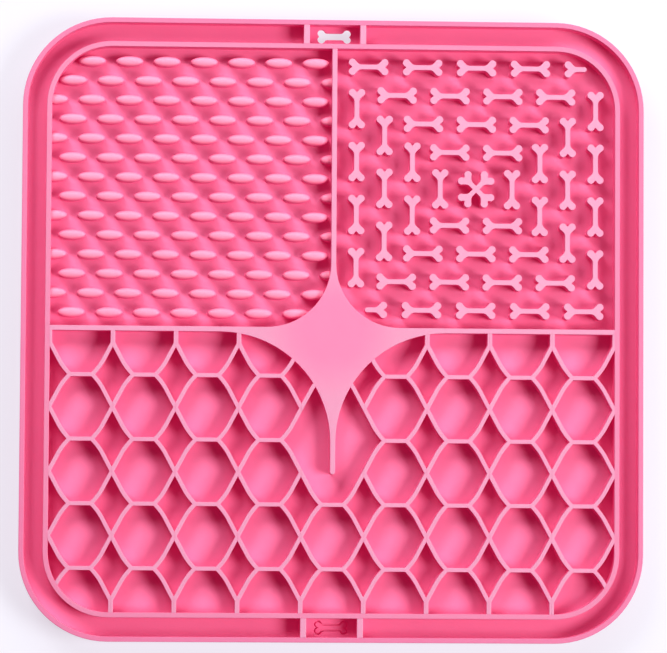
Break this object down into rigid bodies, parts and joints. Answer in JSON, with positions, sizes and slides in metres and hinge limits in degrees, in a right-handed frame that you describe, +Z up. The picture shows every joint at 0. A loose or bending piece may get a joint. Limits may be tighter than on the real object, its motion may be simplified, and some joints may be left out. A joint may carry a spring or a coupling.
{
  "type": "lick mat",
  "caption": "Square silicone lick mat with nub, bone and honeycomb feeding zones round a central star, a drip channel, a hang hole and suction cups below.",
  "frame": {"origin": "centre of the mat, on the plane that the lips of its suction cups rest on", "axes": "+X to the right of the mat with the hang hole at the far edge, +Y towards the hang hole, +Z up out of the feeding zones"},
  "size_m": [0.2, 0.2, 0.01],
  "materials": {
    "silicone": "soft satin pink silicone rubber"
  },
  "bodies": {
    "root": {"base_sheet": "silicone", "outer_rim": "silicone", "inner_rim": "silicone", "top_pocket_ribs": "silicone", "bottom_pocket_ribs": "silicone", "vertical_divider": "silicone", "left_divider": "silicone", "right_divider": "silicone", "centre_star": "silicone", "nub_field": "silicone", "crossed_bones": "silicone", "bone_ring_1": "silicone", "bone_ring_2": "silicone", "bone_ring_3": "silicone", "bone_ring_4": "silicone", "honeycomb_column_1": "silicone", "honeycomb_column_2": "silicone", "honeycomb_column_3": "silicone", "honeycomb_column_4": "silicone", "honeycomb_column_5": "silicone", "honeycomb_column_6": "silicone", "honeycomb_column_7": "silicone", "honeycomb_column_8": "silicone", "honeycomb_column_9": "silicone", "suction_cups": "silicone"}
  },
  "joints": []
}
